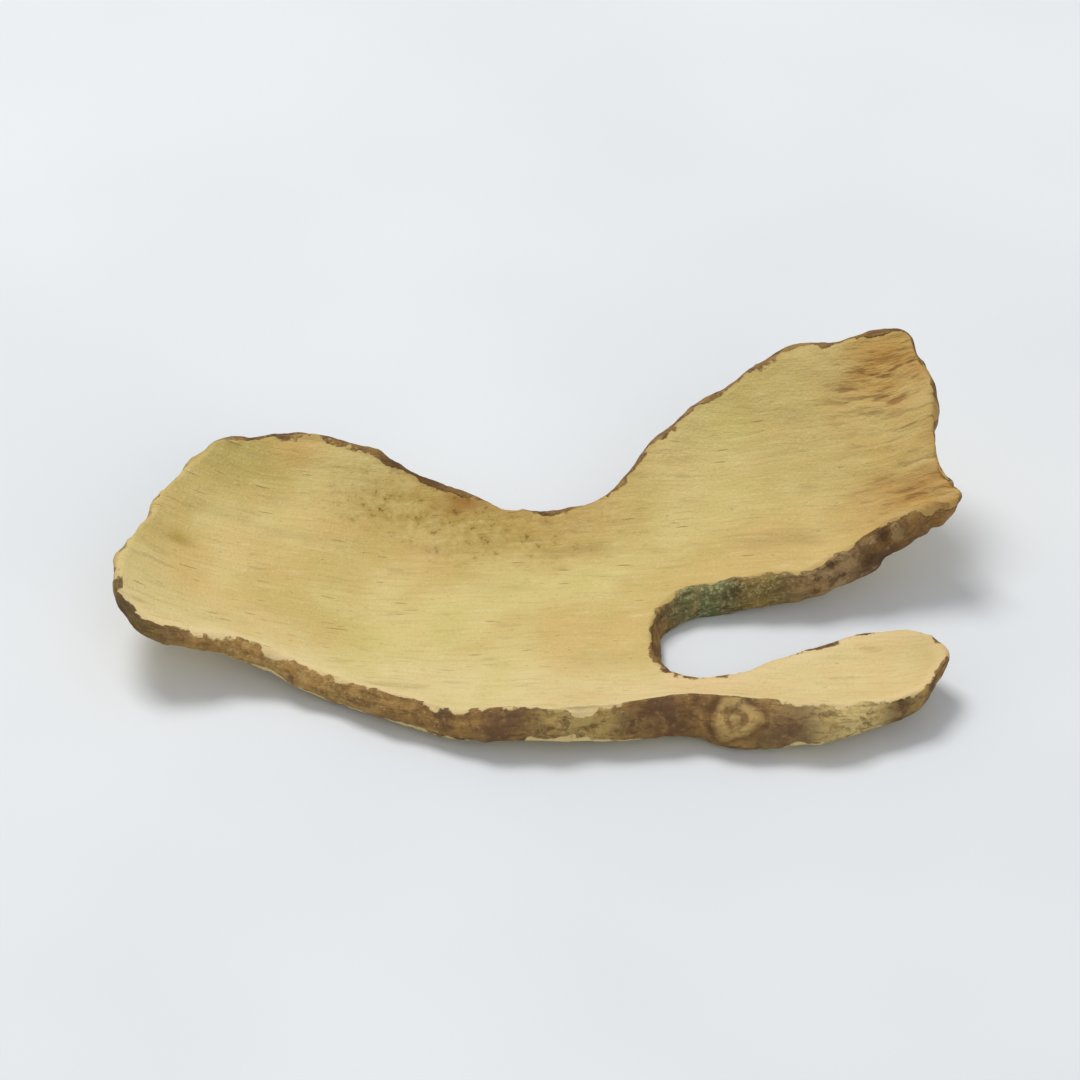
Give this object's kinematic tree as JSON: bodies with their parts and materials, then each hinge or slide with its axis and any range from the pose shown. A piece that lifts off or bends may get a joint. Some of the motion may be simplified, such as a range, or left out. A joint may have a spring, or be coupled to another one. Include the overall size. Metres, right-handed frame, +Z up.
{
  "type": "dried galangal root slice",
  "caption": "Dried lengthwise slice of forked galangal root: curled lobes, a short finger past a blunt notch, pale fibrous flesh and ringed brown bark.",
  "frame": {"origin": "on the surface the slice lies on, under the middle of its bounding box", "axes": "+X along the slice from the rounded left lobe to the forked end, +Y to the far edge, +Z up"},
  "size_m": [0.0722, 0.0404, 0.0175],
  "materials": {
    "dried_root": "dry matt fibrous flesh with rough brown bark on the rim"
  },
  "bodies": {
    "root": {"galangal_slice": "dried_root"}
  },
  "joints": []
}
